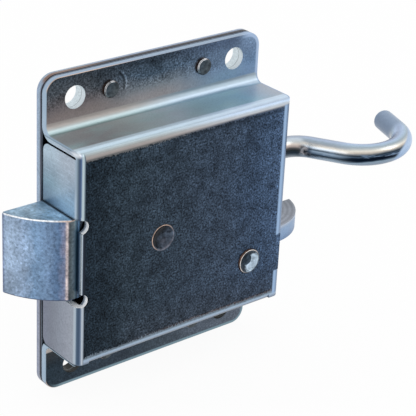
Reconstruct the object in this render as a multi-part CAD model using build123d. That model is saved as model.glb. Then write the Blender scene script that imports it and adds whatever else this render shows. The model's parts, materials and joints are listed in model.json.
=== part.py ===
from build123d import *
import math
import os

# Surface-mounted sprung flap lock in zinc-plated steel. Millimetres, +Z up.
# The bolt leaves the case towards -X, the pull hook leaves it towards +X, the case front faces -Y.
# The origin is the centre of the mounting face, midway between the four screw holes.

# Sheet-metal case
PLATE_SHEET = 3.2
COVER_SHEET = 2.3
CASE_WIDTH = 92.0           # both sheets, left to right
PLATE_HEIGHT = 118.4
FLANGE_HEIGHT = 118.0
BOX_TOP = 40.0              # raised part of the cover, outside
BOX_BOTTOM = -40.2
FRONT_Y = -24.9             # outer face of the cover's front
PLATE_CORNER = 6.0
FLANGE_CORNER = 5.5
FLANGE_BEND = 2.8           # visible hollow radius where flange turns into web
FRONT_BEND = 3.0            # visible round radius along the front's upper and lower edges
SIDE_BEND = 2.7             # the same at the left and right edges
INNER_BEND = 0.5
EDGE_ROUND = 0.45           # blanked edges, softened by tumbling and plating

# Turned-back end flaps of the cover
FLAP_ROOT = 5.0             # how far in from the case's end the flaps are joined on
FLAP_TOP = 37.2
FLAP_BOTTOM = -39.3         # let halfway into the lower web's end
FLAP_REAR_Y = -4.2
FLAP_CORNER = 3.0
FLAP_GAP = 0.3
PLAIN_EDGE_X = 44.6         # front sheet where no flap turns back
RELIEF_RADIUS = 2.5
RELIEF_X = -44.5
WINDOW_TOP = -13.4          # right-hand gap in which the lever's tab moves
WINDOW_BOTTOM = -28.1

# Screw holes and flange rivets
HOLE_SPACING_X = 68.5
HOLE_SPACING_Z = 101.5
HOLE_RADIUS = 4.1
RIVET_SPACING_X = 40.0
RIVET_RADIUS = 3.05
RIVET_PROUD = 1.3
RIVET_BEVEL = 0.4
REAR_HEAD = 1.5             # how much wider each hammered rear head is than its shank

# Latch bolt
BOLT_TOP = 15.55
POST_Z = 0.3                  # height of guide post, bolt slot and spring
BOLT_HEIGHT = 30.0
BOLT_FRONT_Y = -22.0
BOLT_REAR_Y = -3.5
BOLT_TIP_X = -62.7
BOLT_CREASE_X = -47.3       # where the round bevel meets the flat front
BEVEL_RADIUS = 32.0
TIP_ROUND = 1.0
BOLT_EDGE_ROUND = 0.5
BOLT_TAIL_X = 5.5
BOLT_TRAVEL = 16.0
BOLT_GAP_ABOVE = 0.3
BOLT_GAP_BELOW = 2.35
SLOT_LEFT_X = -44.0         # window in the bolt for guide post and spring
SLOT_SIDE_GAP = 0.3
SLOT_END_GAP = 0.3
SLOT_CORNER = 1.0

# Guide post through the bolt's window
POST_X = -10.5
POST_HEAD_RADIUS = 4.95
POST_RADIUS = 4.5
POST_RIM = 0.9              # flat ring round the dish in its front end
SLEEVE_RADIUS = 6.5
DISH_DEPTH = 0.9

# Bolt spring
WIRE = 1.3
SPRING_RADIUS = 5.5         # outside
SPRING_TURNS = 6
SPRING_END_GAP = 0.15
SADDLE_FACE_X = -20.0       # floor of the cup that the spring pushes on
SADDLE_CUP = 0.9
SADDLE_SIDE_GAP = 0.3
SADDLE_OVERHANG = 1.0       # how much deeper than tall the saddle is, each side
SADDLE_WRAP = 3.0           # how far short of the post's axis the saddle ends
GUIDE_PIN_RADIUS = 3.25
GUIDE_PIN_REACH = 7.0
GUIDE_PIN_SEAT = 5.0
SOFT_CHAMFER = 0.8

# Pull hook, a bent round rod
ROD_RADIUS = 4.0
ROD_Y = -12.4
ROD_Z = 13.9
ROD_INNER_X = -16.0
ROD_BEND_X = 53.8
FIRST_BEND = 11.1
FIRST_ANGLE = 60.0
MIDDLE_RUN = 12.45
HOOK_BEND = 17.05
HOOK_ANGLE = 131.4
HOOK_RISE = 1.1             # degrees by which the hook's plane climbs towards its end
END_RUN = 12.2
ROD_END_ROUND = 1.3
ROD_NOTCH_RADIUS = 4.5
WELD_WALL = 2.2             # half the width of rod left bare between its two weld beads
WELD_FOOT = 2.4
WELD_HOLLOW = 7.2
WELD_END = 1.0              # how far short of the bolt's tail the beads stop

# Release lever
PIVOT_X = 29.7
PIVOT_Z = -20.4
PIVOT_RADIUS = 4.0
PIVOT_RUNNING_GAP = 0.05
PIVOT_HEAD_RADIUS = 4.8
PIVOT_HEAD_PROUD = 0.6
PIVOT_HEAD_TAPER = 0.2
PIVOT_DISH_RADIUS = 4.25
PIVOT_FLOOR_RADIUS = 2.1
PIVOT_DISH_DEPTH = 1.5
BUSH_RADIUS = 5.5
HUB_RADIUS = 8.5
LEVER_REAR_Y = -4.0
LEVER_FRONT_Y = -20.0
NOSE_RADIUS = 4.0           # rounded end of each fork prong
NOSE_GAP = 0.3
NOSE_RISE = 2.6             # how far above the rod's axis the prongs push
FORK_GAP = 0.4              # each side of the rod
FORK_DEPTH_FROM_PIVOT = 24.0
ARM_SHOULDER = 3.0          # where the fork arm springs from the hub, above the pivot
TAB_TOP = -13.7
TAB_THICKNESS = 6.3
TAB_NOSE_X = 47.2           # centre of the tab's quarter-round end
TAB_NOSE_RADIUS = 21.1
WASHER_RADIUS = 7.5
REAR_WASHER = 0.5
FRONT_WASHER = 2.3

# Drive block on the rod, pushed by the lever's fork
BLOCK_X = PIVOT_X - 9.5
BLOCK_LENGTH = 4.6
BLOCK_BELOW = 5.4           # from the rod's axis down
BLOCK_ABOVE = 7.1
BLOCK_HALF_DEPTH = 7.9
BLOCK_PIN_RADIUS = 1.5
BLOCK_PIN_SUNK = 0.2
ARM_GAP = 0.4

MIDDLE_Y = (BOLT_FRONT_Y + BOLT_REAR_Y) / 2
PLATE_Y = -PLATE_SHEET
FLANGE_Y = PLATE_Y - COVER_SHEET
INNER_FRONT_Y = FRONT_Y + COVER_SHEET
HALF_WIDTH = CASE_WIDTH / 2
BOLT_BOTTOM = BOLT_TOP - BOLT_HEIGHT
BOLT_OPENING_TOP = BOLT_TOP + BOLT_GAP_ABOVE
BOLT_OPENING_BOTTOM = BOLT_BOTTOM - BOLT_GAP_BELOW
SLOT_HALF_HEIGHT = SLEEVE_RADIUS + SLOT_SIDE_GAP
SLOT_RIGHT_X = POST_X + SLEEVE_RADIUS + SLOT_END_GAP
NOSE_X = BLOCK_X - NOSE_GAP - NOSE_RADIUS
NOSE_Z = ROD_Z + NOSE_RISE
BLOCK_BOTTOM = ROD_Z - BLOCK_BELOW
BLOCK_PIN_X = BLOCK_X + BLOCK_LENGTH / 2
BEHIND, BEFORE = 1.0, FRONT_Y - 1.0     # depths just outside the case, for cuts that go right through


def span(x0, x1, y0, y1, z0, z1):
    """A plain block between two corners."""
    centre = ((x0 + x1) / 2, (y0 + y1) / 2, (z0 + z1) / 2)
    return Pos(*centre) * Box(abs(x1 - x0), abs(y1 - y0), abs(z1 - z0))


def rod_y(x, z, radius, y0, y1):
    """A round bar along Y between two depths."""
    return Pos(x, (y0 + y1) / 2, z) * Rot(90, 0, 0) * Cylinder(radius, abs(y1 - y0))


def rod_x(x0, x1, y, z, radius):
    """A round bar along X between two stations."""
    return Pos((x0 + x1) / 2, y, z) * Rot(0, 90, 0) * Cylinder(radius, abs(x1 - x0))


def turned(x, z, outline):
    """A piece turned about a Y axis: the outline is a list of (radius, y) from the axis and back."""
    face = make_face(Polyline(*[(radius, y) for radius, y in outline], close=True))
    return Pos(x, 0, z) * revolve(face, Axis.Y)


def both_ways(spacing_x, spacing_z):
    """The four corners of a centred rectangle, named by place."""
    return {
        f"{row}_{side}": (sx * spacing_x / 2, sz * spacing_z / 2)
        for row, sz in (("top", 1), ("bottom", -1))
        for side, sx in (("left", -1), ("right", 1))
    }


def fixing_holes():
    """Everything that passes through both sheets at the flanges."""
    cut = Part()
    for x, z in both_ways(HOLE_SPACING_X, HOLE_SPACING_Z).values():
        cut += rod_y(x, z, HOLE_RADIUS, BEHIND, FLANGE_Y - 1)
    for x, z in both_ways(RIVET_SPACING_X, HOLE_SPACING_Z).values():
        cut += rod_y(x, z, RIVET_RADIUS, BEHIND, FLANGE_Y - 1)
    return cut


def countersink(x, z, radius, head):
    """The flush rear head of a rivet, as the cone it is hammered into."""
    depth = head - radius
    return turned(x, z, [(0, 0), (head, 0), (radius, -depth), (0, -depth)])


def back_plate():
    """Flat plate that lies against the flap, with countersunk rivet seats at the rear."""
    sheet = span(-HALF_WIDTH, HALF_WIDTH, PLATE_Y, 0, -PLATE_HEIGHT / 2, PLATE_HEIGHT / 2)
    sheet = fillet(sheet.edges().filter_by(Axis.Y), PLATE_CORNER)
    rims = sheet.faces().filter_by(Axis.Y).edges()
    sheet = fillet(rims, EDGE_ROUND)
    sheet -= fixing_holes()
    for x, z in both_ways(RIVET_SPACING_X, HOLE_SPACING_Z).values():
        sheet -= countersink(x, z, RIVET_RADIUS, RIVET_RADIUS + REAR_HEAD)
    for x, z in ((POST_X, POST_Z), (PIVOT_X, PIVOT_Z)):
        sheet -= rod_y(x, z, PIVOT_RADIUS, BEHIND, PLATE_Y - 1)
        sheet -= countersink(x, z, PIVOT_RADIUS, PIVOT_RADIUS + REAR_HEAD)
    return sheet


def corners_at(section, u, v):
    """The vertices of a flat section at one place."""
    return [p for p in section.vertices() if abs(p.X - u) < 0.01 and abs(p.Y - v) < 0.01]


def hat_section():
    """Flange, web, front, web, flange: one bent strip, the full width of the case."""
    edge = FLANGE_HEIGHT / 2
    inner_top, inner_bottom = BOX_TOP - COVER_SHEET, BOX_BOTTOM + COVER_SHEET
    section = make_face(Polyline(
        (FLANGE_Y, edge), (FLANGE_Y, BOX_TOP), (FRONT_Y, BOX_TOP),
        (FRONT_Y, BOX_BOTTOM), (FLANGE_Y, BOX_BOTTOM), (FLANGE_Y, -edge),
        (PLATE_Y, -edge), (PLATE_Y, inner_bottom), (INNER_FRONT_Y, inner_bottom),
        (INNER_FRONT_Y, inner_top), (PLATE_Y, inner_top), (PLATE_Y, edge),
        close=True,
    ))
    for outer, inner in ((BOX_TOP, inner_top), (BOX_BOTTOM, inner_bottom)):
        section = fillet(corners_at(section, FLANGE_Y, outer), FLANGE_BEND)
        section = fillet(corners_at(section, FRONT_Y, outer), FRONT_BEND)
        section = fillet(corners_at(section, PLATE_Y, inner), FLANGE_BEND + COVER_SHEET)
        section = fillet(corners_at(section, INNER_FRONT_Y, inner), INNER_BEND)
    return extrude(Plane.YZ * section, HALF_WIDTH, both=True)


def rounded_plan():
    """Everything within the case's plan, whose two front corners are rounded like the end flaps."""
    block = span(-HALF_WIDTH, HALF_WIDTH, FRONT_Y, 1, -PLATE_HEIGHT, PLATE_HEIGHT)
    front_corners = block.edges().filter_by(Axis.Z).group_by(Axis.Y)[0]
    return fillet(front_corners, SIDE_BEND)


def end_flap(side, z0, z1, square_ends=()):
    """A strip of the front sheet turned back at one end of the case, between two heights."""
    outer, inner = side * HALF_WIDTH, side * (HALF_WIDTH - COVER_SHEET)
    start = side * (HALF_WIDTH - FLAP_ROOT)
    section = make_face(Polyline(
        (start, FRONT_Y), (outer, FRONT_Y), (outer, FLAP_REAR_Y),
        (inner, FLAP_REAR_Y), (inner, INNER_FRONT_Y), (start, INNER_FRONT_Y),
        close=True,
    ))
    section = fillet(corners_at(section, outer, FRONT_Y), SIDE_BEND)
    section = fillet(corners_at(section, inner, INNER_FRONT_Y), INNER_BEND)
    flap = Pos(0, 0, z0) * extrude(section, z1 - z0)
    rear = flap.edges().filter_by(Axis.X).group_by(Axis.Y)[-1]
    rounded = [edge for edge in rear if round(edge.center().Z, 2) not in square_ends]
    return fillet(rounded, FLAP_CORNER)


def cover():
    """Folded cover with flaps at both ends, the bolt's opening, the tab's window and rivet holes."""
    body = hat_section()
    tips = [e for e in body.edges().filter_by(Axis.Y) if abs(abs(e.center().Z) - FLANGE_HEIGHT / 2) < 0.01]
    body = fillet(tips, FLANGE_CORNER)
    body = fillet(body.faces().filter_by(Axis.X).edges(), EDGE_ROUND)
    body &= rounded_plan()
    flaps = (
        (-1, BOLT_OPENING_TOP, FLAP_TOP),
        (-1, FLAP_BOTTOM, BOLT_OPENING_BOTTOM),
        (1, WINDOW_TOP, FLAP_TOP),
        (1, FLAP_BOTTOM, WINDOW_BOTTOM),
    )
    root, outside = HALF_WIDTH - FLAP_ROOT, HALF_WIDTH + 1
    for side in (-1, 1):
        start, end = side * root, side * outside
        pocket = side * (HALF_WIDTH - COVER_SHEET - FLAP_GAP)
        body -= span(start, end, BEFORE, INNER_FRONT_Y + 1, FLAP_BOTTOM, FLAP_TOP)
        body -= span(pocket, end, BEFORE, FLAP_REAR_Y + FLAP_GAP, FLAP_BOTTOM - FLAP_GAP, FLAP_TOP)
        body += span(start, side * PLAIN_EDGE_X, FRONT_Y, INNER_FRONT_Y, FLAP_BOTTOM, FLAP_TOP)
    for side, z0, z1 in flaps:
        body -= span(side * root, side * outside, BEFORE, INNER_FRONT_Y + 1, z0, z1)
        body += end_flap(side, z0, z1, square_ends=(round(BOLT_OPENING_TOP, 2), round(WINDOW_TOP, 2)))
    for z in (BOLT_OPENING_TOP - RELIEF_RADIUS, BOLT_OPENING_BOTTOM + RELIEF_RADIUS):
        body -= rod_y(RELIEF_X, z, RELIEF_RADIUS, INNER_FRONT_Y + 1, BEFORE)
    body -= rod_x(root, outside, ROD_Y, ROD_Z, ROD_NOTCH_RADIUS)
    body -= span(root, outside, ROD_Y, 0, ROD_Z - ROD_NOTCH_RADIUS, ROD_Z + ROD_NOTCH_RADIUS)
    body -= fixing_holes()
    body -= rod_y(POST_X, POST_Z, POST_HEAD_RADIUS, INNER_FRONT_Y + 1, BEFORE)
    body -= rod_y(PIVOT_X, PIVOT_Z, PIVOT_RADIUS, INNER_FRONT_Y + 1, BEFORE)
    return body


def flange_rivet(x, z):
    """Plain rivet: flush cone at the rear, flat end standing proud of the flange."""
    head = RIVET_RADIUS + REAR_HEAD
    end = FLANGE_Y - RIVET_PROUD
    return turned(x, z, [
        (0, 0), (head, 0), (RIVET_RADIUS, -REAR_HEAD),
        (RIVET_RADIUS, end + RIVET_BEVEL), (RIVET_RADIUS - RIVET_BEVEL, end), (0, end),
    ])


def guide_post():
    """Shouldered post across the case; its front end is flush and dished, its rear end flush."""
    rear = PIVOT_RADIUS
    post = turned(POST_X, POST_Z, [
        (0, 0), (rear + REAR_HEAD, 0), (rear, -REAR_HEAD), (rear, PLATE_Y),
        (POST_RADIUS, PLATE_Y), (POST_RADIUS, INNER_FRONT_Y),
        (POST_HEAD_RADIUS, INNER_FRONT_Y), (POST_HEAD_RADIUS, FRONT_Y), (0, FRONT_Y),
    ])
    rim = POST_HEAD_RADIUS - POST_RIM
    ball = (rim ** 2 + DISH_DEPTH ** 2) / (2 * DISH_DEPTH)
    return post - Pos(POST_X, FRONT_Y + DISH_DEPTH - ball, POST_Z) * Sphere(ball)


def guide_sleeve():
    """Hard tube round the post, clamped between plate and cover, on which the bolt runs."""
    tube = rod_y(POST_X, POST_Z, SLEEVE_RADIUS, PLATE_Y, INNER_FRONT_Y)
    return tube - rod_y(POST_X, POST_Z, POST_RADIUS, 0, FRONT_Y)


def lever_pivot_pin():
    """Pivot pin with a low head, opened by a conical punch, on the cover and a flush rear head."""
    face = FRONT_Y - PIVOT_HEAD_PROUD
    return turned(PIVOT_X, PIVOT_Z, [
        (0, 0), (PIVOT_RADIUS + REAR_HEAD, 0), (PIVOT_RADIUS, -REAR_HEAD),
        (PIVOT_RADIUS, FRONT_Y), (PIVOT_HEAD_RADIUS, FRONT_Y), (PIVOT_HEAD_RADIUS - PIVOT_HEAD_TAPER, face),
        (PIVOT_DISH_RADIUS, face), (PIVOT_FLOOR_RADIUS, face + PIVOT_DISH_DEPTH),
        (0, face + PIVOT_DISH_DEPTH),
    ])


def pivot_washer(front):
    """Thin ring that keeps the lever off the plate or off the cover."""
    start, end = (INNER_FRONT_Y, INNER_FRONT_Y + FRONT_WASHER) if front else (PLATE_Y, PLATE_Y - REAR_WASHER)
    ring = rod_y(PIVOT_X, PIVOT_Z, WASHER_RADIUS, start, end)
    return ring - rod_y(PIVOT_X, PIVOT_Z, PIVOT_RADIUS, 0, FRONT_Y)


def latch_bolt():
    """Solid bar with a round bevel on the nose, a window for post and spring, and a groove on top."""
    plan = make_face([
        Line((BOLT_CREASE_X, BOLT_FRONT_Y), (BOLT_TAIL_X, BOLT_FRONT_Y)),
        Line((BOLT_TAIL_X, BOLT_FRONT_Y), (BOLT_TAIL_X, BOLT_REAR_Y)),
        Line((BOLT_TAIL_X, BOLT_REAR_Y), (BOLT_TIP_X, BOLT_REAR_Y)),
        RadiusArc((BOLT_TIP_X, BOLT_REAR_Y), (BOLT_CREASE_X, BOLT_FRONT_Y), -BEVEL_RADIUS),
    ])
    bar = Pos(0, 0, BOLT_BOTTOM) * extrude(plan, BOLT_HEIGHT)
    tip = bar.edges().filter_by(Axis.Z).sort_by(Axis.X)[0]
    bar = fillet(tip, TIP_ROUND)
    bar = fillet(bar.faces().filter_by(Axis.Z).edges(), BOLT_EDGE_ROUND)
    low, high = POST_Z - SLOT_HALF_HEIGHT, POST_Z + SLOT_HALF_HEIGHT
    window = span(SLOT_LEFT_X, SLOT_RIGHT_X, 0, FRONT_Y, low, high)
    bar -= fillet(window.edges().filter_by(Axis.Y), SLOT_CORNER)
    bar -= rod_x(ROD_INNER_X, BOLT_TAIL_X + 1, ROD_Y, ROD_Z, ROD_RADIUS)
    bar -= span(ROD_INNER_X, BOLT_TAIL_X + 1, ROD_Y - ROD_RADIUS, ROD_Y + ROD_RADIUS, ROD_Z, BOLT_TOP + 1)
    bar -= rod_x(SLOT_LEFT_X - GUIDE_PIN_SEAT, SLOT_LEFT_X + 1, MIDDLE_Y, POST_Z, GUIDE_PIN_RADIUS)
    return bar


def hook_way(degrees):
    """Unit direction in the hook's plane, turned from +X towards the rear by so many degrees."""
    turn, rise = math.radians(degrees), math.radians(HOOK_RISE)
    return Vector(math.cos(turn) * math.cos(rise), math.sin(turn), math.cos(turn) * math.sin(rise))


def bend(start, way, new_way, radius):
    """A round bend that leaves start one way and ends going another way."""
    side = (new_way - way * way.dot(new_way)).normalized()
    angle = math.acos(way.dot(new_way))
    points = [
        start + side * radius * (1 - math.cos(part)) + way * radius * math.sin(part)
        for part in (0, angle / 2, angle)
    ]
    return ThreePointArc(*points)


def hook_path():
    """Centre line of the rod: straight from the bolt, out towards the front, and round to the rear."""
    straight, outward, inward = Vector(1, 0, 0), hook_way(-FIRST_ANGLE), hook_way(HOOK_ANGLE - FIRST_ANGLE)
    inside = Line((ROD_INNER_X, ROD_Y, ROD_Z), (ROD_BEND_X, ROD_Y, ROD_Z))
    first = bend(inside @ 1, straight, outward, FIRST_BEND)
    middle = Line(first @ 1, (first @ 1) + outward * MIDDLE_RUN)
    second = bend(middle @ 1, outward, inward, HOOK_BEND)
    end = Line(second @ 1, (second @ 1) + inward * END_RUN)
    return Wire([inside, first, middle, second, end])


def hook_handle():
    """Round rod bent into an open finger hook, with softened ends and a cross hole for its block."""
    path = hook_path()
    section = Plane(path @ 0, z_dir=path % 0) * Circle(ROD_RADIUS)
    rod = sweep(section, path)
    ends = [edge for edge in rod.edges() if edge.geom_type == GeomType.CIRCLE and edge.is_closed]
    tip = sorted(ends, key=lambda edge: edge.center().X)[-1]
    rod = fillet(tip, ROD_END_ROUND)
    return rod - rod_y(BLOCK_PIN_X, ROD_Z, BLOCK_PIN_RADIUS, 0, FRONT_Y)


def handle_weld():
    """Two fillet welds between the rod and the bolt's top, one along each side."""
    wall = WELD_WALL
    crest = ROD_Z + math.sqrt(ROD_RADIUS ** 2 - wall ** 2)
    toe = ROD_RADIUS + WELD_FOOT
    beads = Part()
    for side in (-1, 1):
        section = make_face([
            Line((ROD_Y + side * wall, BOLT_TOP), (ROD_Y + side * toe, BOLT_TOP)),
            RadiusArc((ROD_Y + side * toe, BOLT_TOP), (ROD_Y + side * wall, crest), side * WELD_HOLLOW),
            Line((ROD_Y + side * wall, crest), (ROD_Y + side * wall, BOLT_TOP)),
        ])
        length = BOLT_TAIL_X - WELD_END - ROD_INNER_X
        beads += Pos(ROD_INNER_X, 0, 0) * extrude(Plane.YZ * section, length)
    return beads - rod_x(ROD_INNER_X - 1, BOLT_TAIL_X + 1, ROD_Y, ROD_Z, ROD_RADIUS)


def drive_block():
    """Block pinned on the rod; the lever's fork pushes its left face."""
    y0, y1 = ROD_Y - BLOCK_HALF_DEPTH, ROD_Y + BLOCK_HALF_DEPTH
    block = span(BLOCK_X, BLOCK_X + BLOCK_LENGTH, y0, y1, BLOCK_BOTTOM, ROD_Z + BLOCK_ABOVE)
    block = chamfer(block.edges().filter_by(Axis.X), SOFT_CHAMFER)
    block -= rod_x(BLOCK_X - 1, BLOCK_X + BLOCK_LENGTH + 1, ROD_Y, ROD_Z, ROD_RADIUS)
    return block - rod_y(BLOCK_PIN_X, ROD_Z, BLOCK_PIN_RADIUS, 0, FRONT_Y)


def drive_block_pin():
    """Cross pin through block and rod."""
    reach = BLOCK_HALF_DEPTH - BLOCK_PIN_SUNK
    return rod_y(BLOCK_PIN_X, ROD_Z, BLOCK_PIN_RADIUS, ROD_Y + reach, ROD_Y - reach)


def spring_guide_pin():
    """Short pin pressed into the bolt, which keeps the spring's moving end central."""
    start, end = SLOT_LEFT_X - GUIDE_PIN_SEAT, SLOT_LEFT_X + GUIDE_PIN_REACH
    pin = rod_x(start, end, MIDDLE_Y, POST_Z, GUIDE_PIN_RADIUS)
    return chamfer(pin.faces().sort_by(Axis.X)[-1].edges(), SOFT_CHAMFER)


def spring_saddle():
    """Block hollowed to sit against the sleeve, with a shallow cup for the spring's fixed end."""
    half = SLOT_HALF_HEIGHT - SADDLE_SIDE_GAP
    deep = half + SADDLE_OVERHANG
    left = SADDLE_FACE_X - SADDLE_CUP
    block = span(left, POST_X - SADDLE_WRAP, MIDDLE_Y - deep, MIDDLE_Y + deep, POST_Z - half, POST_Z + half)
    block -= rod_y(POST_X, POST_Z, SLEEVE_RADIUS, 0, FRONT_Y)
    return block - rod_x(left - 1, SADDLE_FACE_X, MIDDLE_Y, POST_Z, SPRING_RADIUS + SADDLE_SIDE_GAP)


def tangent_pair(start, start_way, end, end_way):
    """Two arcs that leave start and reach end in the given directions, meeting smoothly between."""
    chord, ways = end - start, start_way + end_way
    spread = 2 * (1 - start_way.dot(end_way))
    along = chord.dot(ways)
    reach = (math.sqrt(along ** 2 + spread * chord.dot(chord)) - along) / spread
    meeting = ((start + start_way * reach) + (end - end_way * reach)) * 0.5
    first = TangentArc(start, meeting, tangent=start_way)
    return [first, TangentArc(meeting, end, tangent=first % 1)]


def coil_point(turns, x0, pitch, radius):
    """Point and direction on the spring's centre line after so many turns."""
    angle = 2 * math.pi * turns
    point = Vector(
        x0 + pitch * turns,
        MIDDLE_Y + radius * math.cos(angle),
        POST_Z + radius * math.sin(angle),
    )
    way = Vector(
        pitch / (2 * math.pi),
        -radius * math.sin(angle),
        radius * math.cos(angle),
    )
    return point, way.normalized()


def bolt_spring():
    """Compression spring in one unbroken coil, between the bolt's window and the saddle."""
    radius = SPRING_RADIUS - WIRE / 2
    x0 = SLOT_LEFT_X + WIRE / 2 + SPRING_END_GAP
    x1 = SADDLE_FACE_X - WIRE / 2 - SPRING_END_GAP
    pitch = (x1 - x0) / SPRING_TURNS
    arcs = []
    for quarter in range(4 * SPRING_TURNS):
        start, start_way = coil_point(quarter / 4, x0, pitch, radius)
        end, end_way = coil_point((quarter + 1) / 4, x0, pitch, radius)
        arcs += tangent_pair(start, start_way, end, end_way)
    path = Wire(arcs)
    print("bolt_spring: least gap between turns", round(pitch - WIRE, 2), "mm")
    section = Plane(path @ 0, z_dir=path % 0) * Circle(WIRE / 2)
    return sweep(section, path)


def lever_profile():
    """Side outline of the lever: hub, fork arm leaning to the bolt, and tab towards the window."""
    face_x = BLOCK_X - NOSE_GAP
    tab_bottom = TAB_TOP - TAB_THICKNESS
    arm = make_face(Polyline(
        (NOSE_X - NOSE_RADIUS, NOSE_Z), (face_x, NOSE_Z), (face_x, BLOCK_BOTTOM - ARM_GAP),
        (PIVOT_X + HUB_RADIUS - 1, PIVOT_Z + ARM_SHOULDER), (PIVOT_X, PIVOT_Z),
        (PIVOT_X - HUB_RADIUS, PIVOT_Z),
        close=True,
    ))
    tab = make_face(Polyline(
        (PIVOT_X, TAB_TOP), (TAB_NOSE_X + TAB_NOSE_RADIUS, TAB_TOP),
        (TAB_NOSE_X + TAB_NOSE_RADIUS, tab_bottom), (PIVOT_X, tab_bottom),
        close=True,
    ))
    hub = Pos(PIVOT_X, PIVOT_Z) * Circle(HUB_RADIUS)
    nose = Pos(NOSE_X, NOSE_Z) * Circle(NOSE_RADIUS)
    return arm + hub + nose + tab


def tab_corner():
    """What the quarter-round end of the thumb tab leaves away."""
    nose_y = LEVER_FRONT_Y + TAB_NOSE_RADIUS
    top, bottom = TAB_TOP + 1, TAB_TOP - TAB_THICKNESS - 1
    square = span(TAB_NOSE_X, TAB_NOSE_X + 2 * TAB_NOSE_RADIUS, nose_y, LEVER_FRONT_Y - 1, bottom, top)
    return square - Pos(TAB_NOSE_X, nose_y, (top + bottom) / 2) * Cylinder(TAB_NOSE_RADIUS, 2 * (top - bottom))


def fork_gap():
    """Slot along the lever's arm that lets its two prongs stand astride the rod."""
    reach = math.hypot(PIVOT_X - NOSE_X, NOSE_Z - PIVOT_Z)
    lean = math.degrees(math.atan2(PIVOT_X - NOSE_X, NOSE_Z - PIVOT_Z))
    slot = Pos(0, 0, FORK_DEPTH_FROM_PIVOT + reach / 2) * Box(reach, 2 * (ROD_RADIUS + FORK_GAP), reach)
    return Pos(PIVOT_X, ROD_Y, PIVOT_Z) * Rot(0, -lean, 0) * slot


def release_lever():
    """Cast lever on the pivot: fork astride the rod, hub, and quarter-round thumb tab."""
    depth = LEVER_REAR_Y - LEVER_FRONT_Y
    lever = Pos(0, LEVER_REAR_Y, 0) * extrude(Plane.XZ * lever_profile(), depth)
    lever -= tab_corner()
    lever -= fork_gap()
    return lever - rod_y(PIVOT_X, PIVOT_Z, BUSH_RADIUS, 0, FRONT_Y)


def pivot_bush():
    """Bush pressed into the lever's hub, running on the pivot pin."""
    tube = rod_y(PIVOT_X, PIVOT_Z, BUSH_RADIUS, LEVER_REAR_Y, LEVER_FRONT_Y)
    return tube - rod_y(PIVOT_X, PIVOT_Z, PIVOT_RADIUS + PIVOT_RUNNING_GAP, 0, FRONT_Y)


def pieces():
    """Every separate piece of the lock, by node name."""
    made = {
        "back_plate": back_plate(),
        "cover": cover(),
        "guide_post": guide_post(),
        "guide_sleeve": guide_sleeve(),
        "lever_pivot_pin": lever_pivot_pin(),
        "pivot_washer_front": pivot_washer(True),
        "pivot_washer_rear": pivot_washer(False),
        "spring_saddle": spring_saddle(),
        "latch_bolt": latch_bolt(),
        "bolt_spring": bolt_spring(),
        "spring_guide_pin": spring_guide_pin(),
        "hook_handle": hook_handle(),
        "handle_weld": handle_weld(),
        "drive_block": drive_block(),
        "drive_block_pin": drive_block_pin(),
        "release_lever": release_lever(),
        "pivot_bush": pivot_bush(),
    }
    for place, (x, z) in both_ways(RIVET_SPACING_X, HOLE_SPACING_Z).items():
        made[f"flange_rivet_{place}"] = flange_rivet(x, z)
    return made


os.makedirs("parts", exist_ok=True)
for name, solid in pieces().items():
    export_step(solid, f"parts/{name}.step")
    print(name, round(solid.volume, 1), "mm3")
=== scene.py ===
"""Looks of a surface-mounted flap lock in zinc-plated steel, built round its fixed frame."""

from __future__ import annotations

import json
import logging
import math
from dataclasses import dataclass, replace
from enum import Enum
from typing import Iterable, Mapping, Optional, Sequence, Union

import bmesh
import bpy
from mathutils import Matrix, Vector

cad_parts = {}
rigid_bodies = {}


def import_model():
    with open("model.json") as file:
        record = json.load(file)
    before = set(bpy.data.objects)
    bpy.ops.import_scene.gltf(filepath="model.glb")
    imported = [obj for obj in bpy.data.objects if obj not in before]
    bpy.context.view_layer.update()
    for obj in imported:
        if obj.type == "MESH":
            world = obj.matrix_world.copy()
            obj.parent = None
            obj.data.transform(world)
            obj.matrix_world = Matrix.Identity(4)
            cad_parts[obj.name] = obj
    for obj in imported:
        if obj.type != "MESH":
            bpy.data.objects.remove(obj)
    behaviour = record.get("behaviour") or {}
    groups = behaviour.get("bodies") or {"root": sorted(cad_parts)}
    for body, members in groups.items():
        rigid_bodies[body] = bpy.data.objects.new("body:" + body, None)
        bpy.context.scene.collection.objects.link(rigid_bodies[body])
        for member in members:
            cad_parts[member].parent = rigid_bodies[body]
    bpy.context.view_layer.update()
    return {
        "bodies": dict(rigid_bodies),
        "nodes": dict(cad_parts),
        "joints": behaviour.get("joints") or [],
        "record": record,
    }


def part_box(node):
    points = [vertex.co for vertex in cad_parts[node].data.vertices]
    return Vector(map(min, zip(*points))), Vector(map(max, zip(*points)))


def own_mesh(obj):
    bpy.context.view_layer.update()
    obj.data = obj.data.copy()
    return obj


LOG = logging.getLogger("flap_lock")
MM = 0.001

Colour = tuple[float, float, float, float]
Stop = tuple[float, int, int, int]
Number = Union["Signal", float]
Paint = Union["Signal", Colour]


def tone(red: int, green: int, blue: int) -> Colour:
    """Turns a display colour into the linear colour that a socket takes.

    Args:
        red: Red from 0 to 255.
        green: Green from 0 to 255.
        blue: Blue from 0 to 255.

    Returns:
        The linear colour with full opacity.
    """
    def channel(value: int) -> float:
        """One channel, linear."""
        share = value / 255
        return share / 12.92 if share <= 0.04045 else ((share + 0.055) / 1.055) ** 2.4

    return channel(red), channel(green), channel(blue), 1.0


class Operation(Enum):
    """The arithmetic that a material uses."""

    ADD = "ADD"
    SUBTRACT = "SUBTRACT"
    MULTIPLY = "MULTIPLY"
    DIVIDE = "DIVIDE"
    POWER = "POWER"
    MAXIMUM = "MAXIMUM"
    MINIMUM = "MINIMUM"
    ABSOLUTE = "ABSOLUTE"
    SINE = "SINE"
    SQRT = "SQRT"
    ARCTAN2 = "ARCTAN2"


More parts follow.
